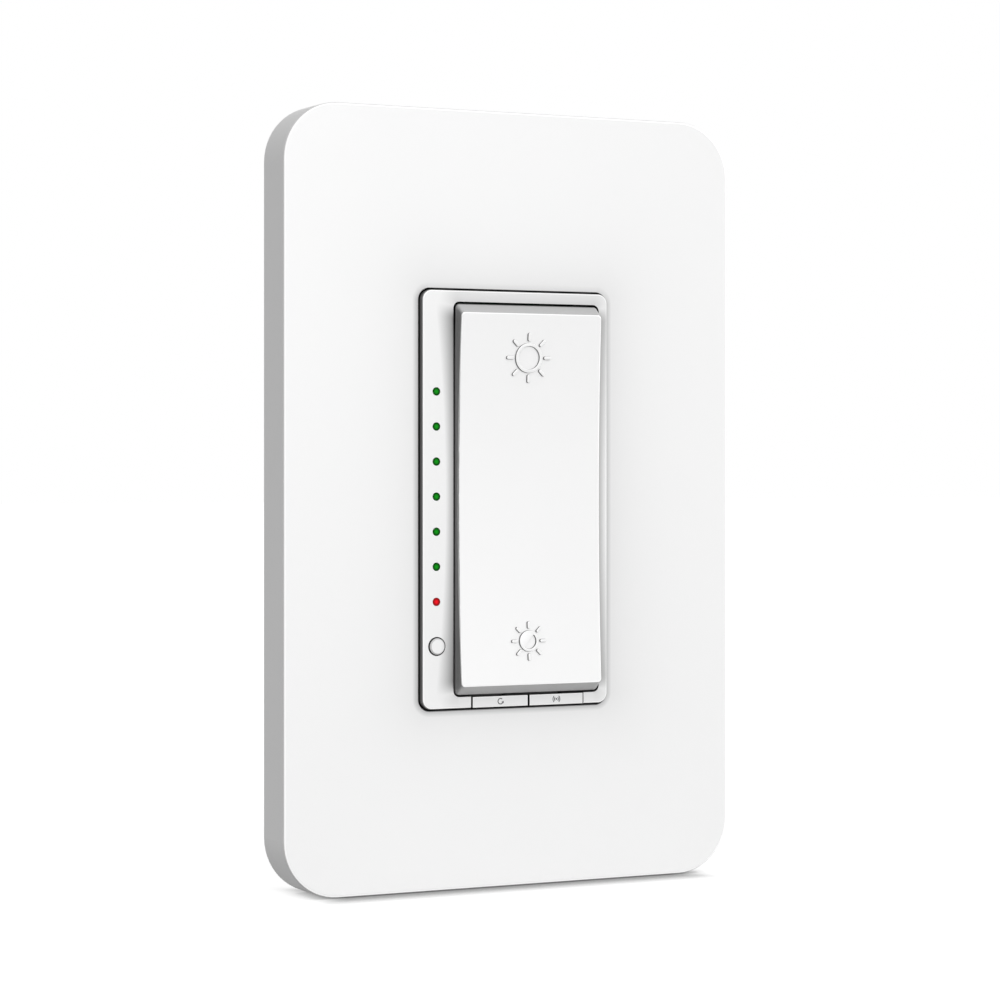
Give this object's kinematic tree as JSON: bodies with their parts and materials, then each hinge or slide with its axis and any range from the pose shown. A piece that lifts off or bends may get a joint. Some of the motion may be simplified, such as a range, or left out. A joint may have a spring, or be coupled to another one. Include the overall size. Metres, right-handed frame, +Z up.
{
  "type": "smart dimmer switch",
  "caption": "Wall dimmer switch with a screwless cover plate, a concave rocker, a column of indicator lights, a round button and two flat keys.",
  "frame": {"origin": "middle of the two wall screws, on the wall's surface", "axes": "+X right as seen from the room, +Y into the wall, +Z up"},
  "size_m": [0.0794, 0.0442, 0.1238],
  "materials": {
    "cover_plastic": "satin",
    "frame_plastic": "satin",
    "rocker_plastic": "satin",
    "button_plastic": "satin",
    "inner_plastic": "matt",
    "green_light": "clear, lit green",
    "red_light": "clear, lit red",
    "led_body": "matt",
    "housing_plastic": "fine moulded grain",
    "heat_sink_metal": "brushed",
    "spring_steel": "bright",
    "screw_steel": "zinc plated",
    "white_screw": "white enamel",
    "fibre_washer": "vulcanised fibre",
    "terminal_brass": "plain",
    "terminal_screw_metal": "bright",
    "earth_screw": "green dyed",
    "circuit_board": "solder mask",
    "shield_tin": "tinned",
    "chip_black": "moulded epoxy",
    "insulator_film": "satin film",
    "switch_body": "matt",
    "switch_plunger": "matt",
    "header_plastic": "matt",
    "film_yellow": "gloss",
    "can_sleeve": "gloss",
    "ferrite": "coated",
    "copper_wire": "enamelled",
    "fuse_glass": "clear",
    "disc_blue": "coated"
  },
  "bodies": {
    "device": {"wall_plate": "cover_plastic", "front_frame": "frame_plastic", "mounting_frame": "inner_plastic", "light_pipe_1": "green_light", "light_pipe_2": "green_light", "light_pipe_3": "green_light", "light_pipe_4": "green_light", "light_pipe_5": "green_light", "light_pipe_6": "green_light", "light_pipe_7": "red_light", "indicator_leds": "led_body", "rear_housing": "housing_plastic", "yoke": "heat_sink_metal", "rocker_spring": "spring_steel", "mounting_screws": "screw_steel", "housing_screws": "screw_steel", "transistor_screws": "screw_steel", "plate_screws": "white_screw", "screw_retainers": "fibre_washer", "terminal_plate_upper_left": "terminal_brass", "terminal_plate_lower_left": "terminal_brass", "terminal_plate_upper_right": "terminal_brass", "terminal_plate_lower_right": "terminal_brass", "terminal_clamp_upper_left": "terminal_brass", "terminal_clamp_lower_left": "terminal_brass", "terminal_clamp_upper_right": "terminal_brass", "terminal_clamp_lower_right": "terminal_brass", "terminal_screws": "terminal_screw_metal", "ground_screw": "earth_screw", "control_board": "circuit_board", "power_board": "circuit_board", "radio_module": "circuit_board", "radio_shield": "shield_tin", "control_chip": "chip_black", "left_transistor": "chip_black", "right_transistor": "chip_black", "insulator_sheet": "insulator_film", "upper_switch": "switch_body", "lower_switch": "switch_body", "button_switch": "switch_body", "reset_switch": "switch_body", "pair_switch": "switch_body", "link_header": "header_plastic", "film_capacitor": "film_yellow", "storage_capacitor": "can_sleeve", "choke_core": "ferrite", "choke_winding": "copper_wire", "fuse": "fuse_glass", "surge_disc": "disc_blue"},
    "rocker": {"rocker": "rocker_plastic"},
    "round_button": {"round_button": "button_plastic"},
    "reset_key": {"reset_key": "button_plastic"},
    "pair_key": {"pair_key": "button_plastic"},
    "upper_plunger": {"upper_plunger": "switch_plunger"},
    "lower_plunger": {"lower_plunger": "switch_plunger"},
    "button_plunger": {"button_plunger": "switch_plunger"},
    "reset_plunger": {"reset_plunger": "switch_plunger"},
    "pair_plunger": {"pair_plunger": "switch_plunger"}
  },
  "joints": [
    {"name": "rocker_tilt", "type": "hinge", "parent": "device", "child": "rocker", "pos_m": [0, -0.0052, 0], "axis": [1, 0, 0], "range_deg": [-1.5, 1.5], "stiffness_Nm_per_rad": 0.3, "deforming": ["rocker_spring"]},
    {"name": "round_button_press", "type": "slide", "parent": "device", "child": "round_button", "axis": [0, 1, 0], "range_m": [0, 0.00025], "stiffness_N_per_m": 600},
    {"name": "reset_key_press", "type": "slide", "parent": "device", "child": "reset_key", "axis": [0, 1, 0], "range_m": [0, 0.00025], "stiffness_N_per_m": 600},
    {"name": "pair_key_press", "type": "slide", "parent": "device", "child": "pair_key", "axis": [0, 1, 0], "range_m": [0, 0.00025], "stiffness_N_per_m": 600},
    {"name": "upper_plunger_press", "type": "slide", "parent": "device", "child": "upper_plunger", "axis": [0, 1, 0], "range_m": [0, 0.00025], "stiffness_N_per_m": 600},
    {"name": "lower_plunger_press", "type": "slide", "parent": "device", "child": "lower_plunger", "axis": [0, 1, 0], "range_m": [0, 0.00025], "stiffness_N_per_m": 600},
    {"name": "button_plunger_press", "type": "slide", "parent": "device", "child": "button_plunger", "axis": [0, 1, 0], "range_m": [0, 0.00025]},
    {"name": "reset_plunger_press", "type": "slide", "parent": "device", "child": "reset_plunger", "axis": [0, 1, 0], "range_m": [0, 0.00025]},
    {"name": "pair_plunger_press", "type": "slide", "parent": "device", "child": "pair_plunger", "axis": [0, 1, 0], "range_m": [0, 0.00025]}
  ],
  "couplings": [
    {"joint": "button_plunger_press", "follows": "round_button_press", "ratio": 1},
    {"joint": "reset_plunger_press", "follows": "reset_key_press", "ratio": 1},
    {"joint": "pair_plunger_press", "follows": "pair_key_press", "ratio": 1}
  ]
}
